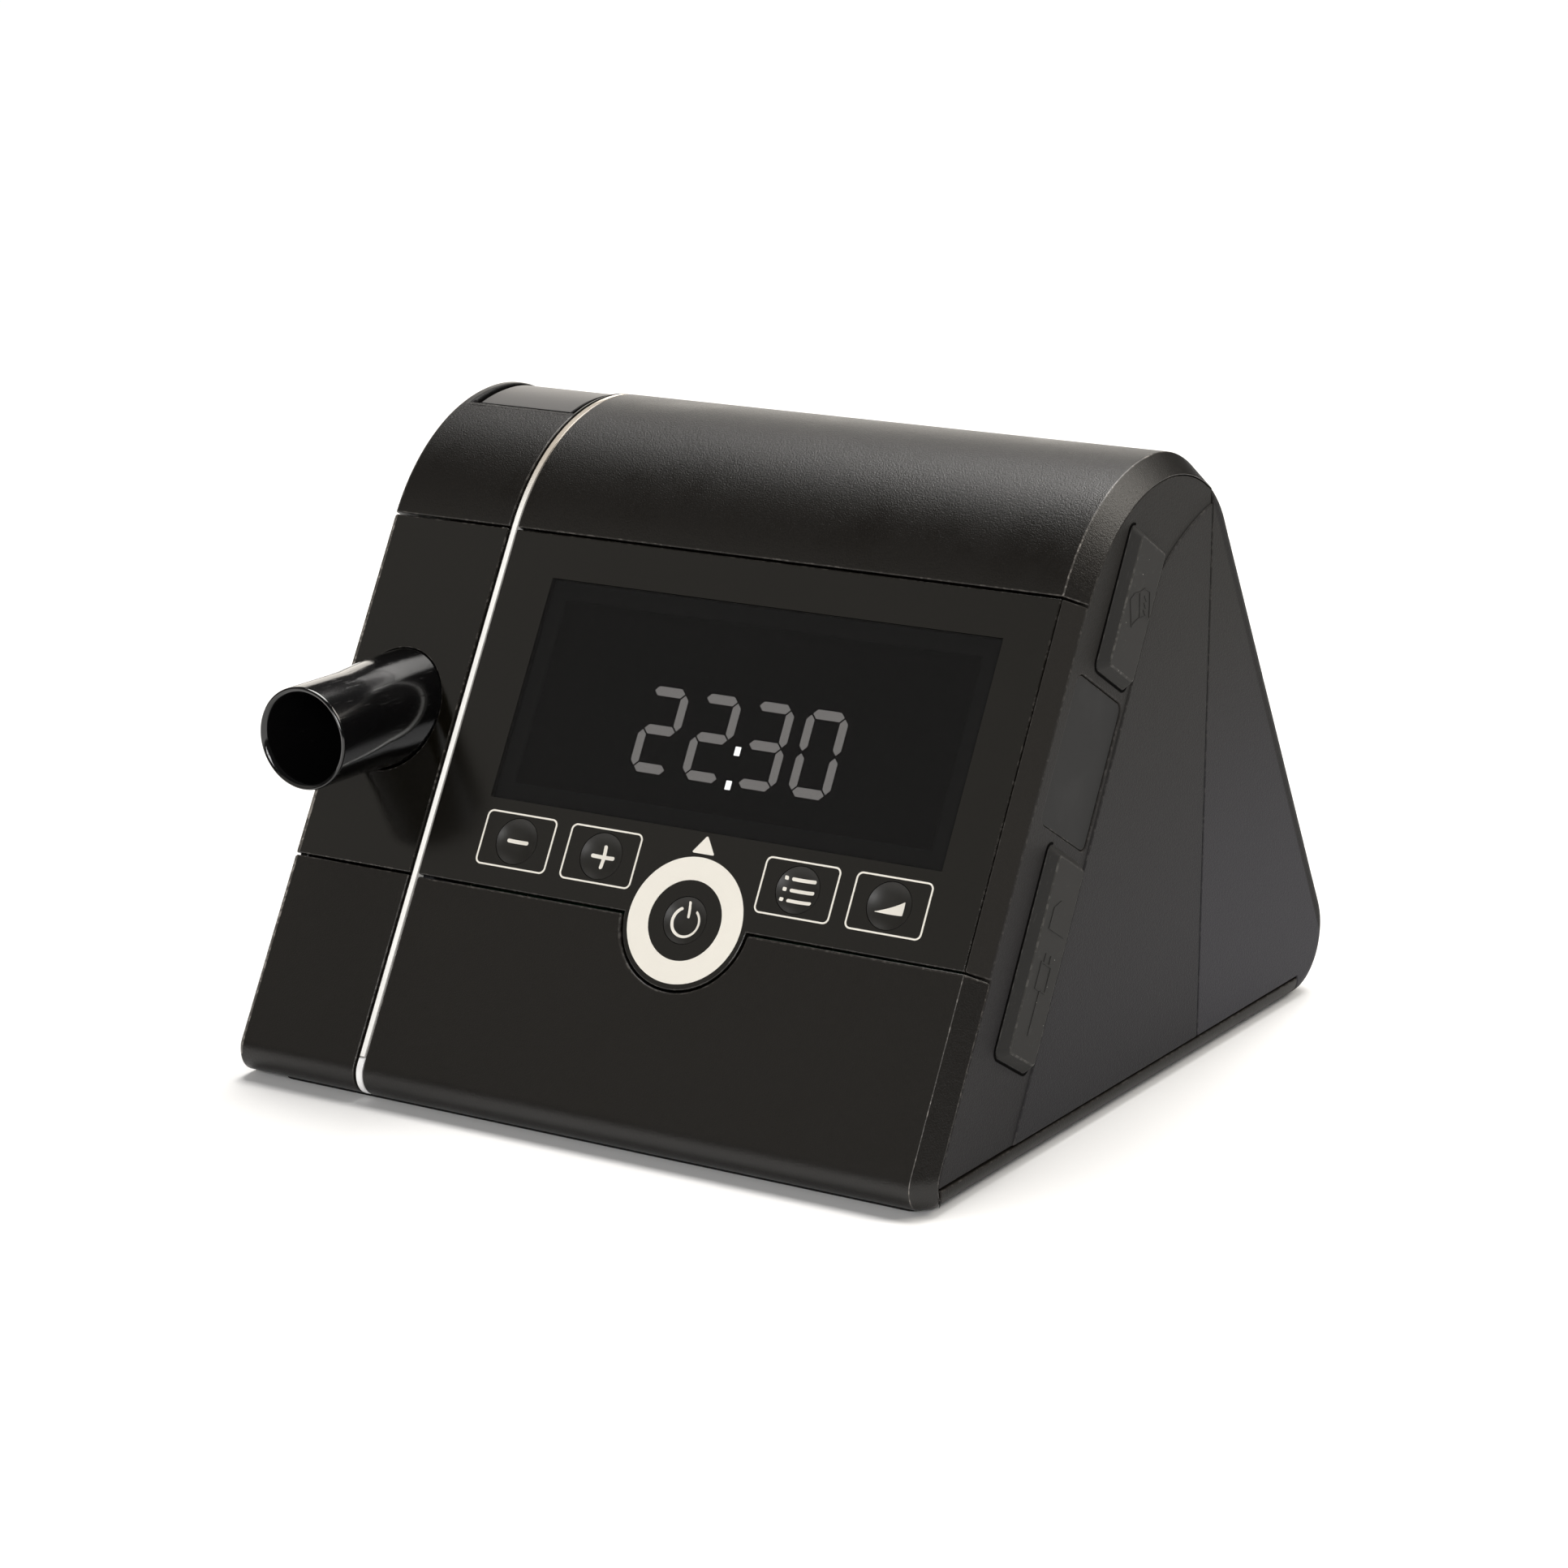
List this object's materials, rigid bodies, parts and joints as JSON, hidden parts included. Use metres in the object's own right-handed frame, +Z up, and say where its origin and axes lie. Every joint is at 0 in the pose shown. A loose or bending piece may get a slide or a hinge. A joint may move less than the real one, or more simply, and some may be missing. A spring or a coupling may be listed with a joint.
{
  "type": "cpap machine",
  "caption": "Bench-top CPAP machine with a slanted display front, five keys, side port flaps, and a slide-off connection module with a hose stub and release key.",
  "frame": {"origin": "on the table under the middle of the base pad", "axes": "+Z up, -Y towards the user at the display front, +X to the right-hand side with the port flaps"},
  "size_m": [0.17, 0.184, 0.1353],
  "materials": {
    "case_black": "fine-grained matte",
    "panel_black": "satin",
    "side_grey": "fine-grained matte",
    "bay_grey": "flat matte",
    "gloss_black": "glossy",
    "window_black": "smooth dark window",
    "lcd_black": "smooth",
    "digit_grey": "flat",
    "print_white": "printed",
    "pad_rubber": "matte",
    "flap_rubber": "soft matte",
    "key_satin": "satin",
    "strip_chrome": "bright light guide",
    "strip_end_grey": "satin",
    "inner_plastic": "moulded",
    "impeller_white": "moulded",
    "seal_rubber": "silicone",
    "foam_grey": "open-cell foam",
    "filter_white": "fibre pad",
    "board_green": "solder resist",
    "chip_black": "moulded",
    "socket_steel": "stamped",
    "ribbon_white": "flat cable",
    "spring_steel": "ground",
    "rotor_steel": "zinc plated",
    "winding_copper": "enamelled wire",
    "motor_aluminium": "cast"
  },
  "bodies": {
    "main": {"base_pad": "pad_rubber", "base_tray": "case_black", "lower_front_cover": "case_black", "front_panel": "panel_black", "panel_print": "print_white", "display_window": "window_black", "lcd_module": "lcd_black", "lcd_digits": "digit_grey", "top_cover": "case_black", "side_panel": "side_grey", "rear_cover": "side_grey", "filter_housing": "inner_plastic", "power_inlet": "inner_plastic", "light_strip": "strip_chrome", "strip_end": "strip_end_grey", "bulkhead": "inner_plastic", "outlet_seal": "seal_rubber", "key_switches": "chip_black", "display_board": "board_green", "main_board": "board_green", "board_chips": "chip_black", "card_socket": "socket_steel", "usb_socket": "socket_steel", "ribbon_cable": "ribbon_white", "backup_cell": "socket_steel", "volute_lower": "inner_plastic", "volute_upper": "inner_plastic", "motor_stator": "winding_copper", "bearings": "spring_steel", "motor_housing": "motor_aluminium", "blower_mounts": "seal_rubber", "flow_tube": "inner_plastic", "pressure_sensor": "chip_black", "muffler_box": "inner_plastic", "muffler_foam": "foam_grey", "chassis": "inner_plastic", "case_screws": "spring_steel"},
    "module": {"module_shell": "case_black", "module_cap": "case_black", "module_front": "case_black", "hose_stub": "gloss_black", "duct_elbow": "inner_plastic", "release_spring": "spring_steel"},
    "release": {"release_key": "key_satin", "latch_hook": "inner_plastic"},
    "door": {"filter_door": "case_black", "coarse_filter": "foam_grey", "fine_filter": "filter_white"},
    "card_flap": {"card_flap": "flap_rubber"},
    "usb_flap": {"usb_flap": "flap_rubber"},
    "bay": {"bay_cover": "bay_grey"},
    "rotor": {"impeller": "impeller_white", "motor_shaft": "spring_steel", "motor_rotor": "rotor_steel"},
    "minus_key": {"minus_key": "panel_black"},
    "plus_key": {"plus_key": "panel_black"},
    "power_key": {"power_key": "panel_black"},
    "menu_key": {"menu_key": "panel_black"},
    "ramp_key": {"ramp_key": "panel_black"}
  },
  "joints": [
    {"name": "minus_press", "type": "slide", "parent": "main", "child": "minus_key", "axis": [0, 0.8721, -0.4894], "range_m": [0, 0.0006], "stiffness_N_per_m": 1500, "springref_m": -0.0005},
    {"name": "plus_press", "type": "slide", "parent": "main", "child": "plus_key", "axis": [0, 0.8721, -0.4894], "range_m": [0, 0.0006], "stiffness_N_per_m": 1500, "springref_m": -0.0005},
    {"name": "power_press", "type": "slide", "parent": "main", "child": "power_key", "axis": [0, 0.8721, -0.4894], "range_m": [0, 0.0006], "stiffness_N_per_m": 1500, "springref_m": -0.0005},
    {"name": "menu_press", "type": "slide", "parent": "main", "child": "menu_key", "axis": [0, 0.8721, -0.4894], "range_m": [0, 0.0006], "stiffness_N_per_m": 1500, "springref_m": -0.0005},
    {"name": "ramp_press", "type": "slide", "parent": "main", "child": "ramp_key", "axis": [0, 0.8721, -0.4894], "range_m": [0, 0.0006], "stiffness_N_per_m": 1500, "springref_m": -0.0005},
    {"name": "module_slide", "type": "slide", "parent": "main", "child": "module", "axis": [-1, 0, 0], "range_m": [0, 0.06]},
    {"name": "release_press", "type": "slide", "parent": "module", "child": "release", "axis": [0, 0, -1], "range_m": [0, 0.0025], "stiffness_N_per_m": 600, "springref_m": -0.002, "deforming": ["release_spring"]},
    {"name": "filter_door_hinge", "type": "hinge", "parent": "main", "child": "door", "pos_m": [-0.008, 0.08309, 0.03025], "axis": [-1, 0, 0], "range_deg": [0, 95]},
    {"name": "card_flap_hinge", "type": "hinge", "parent": "main", "child": "card_flap", "pos_m": [0.0837, -0.00443, 0.12034], "axis": [0, -0.8721, 0.4894], "range_deg": [0, 110]},
    {"name": "usb_flap_hinge", "type": "hinge", "parent": "main", "child": "usb_flap", "pos_m": [0.0837, -0.05924, 0.02266], "axis": [0, 0.8721, -0.4894], "range_deg": [0, 110]},
    {"name": "bay_cover_slide", "type": "slide", "parent": "main", "child": "bay", "axis": [1, 0, 0], "range_m": [0, 0.012]},
    {"name": "impeller_spin", "type": "hinge", "parent": "main", "child": "rotor", "pos_m": [0.004, 0.0046, 0.077], "axis": [0, 0, 1], "continuous": true}
  ]
}
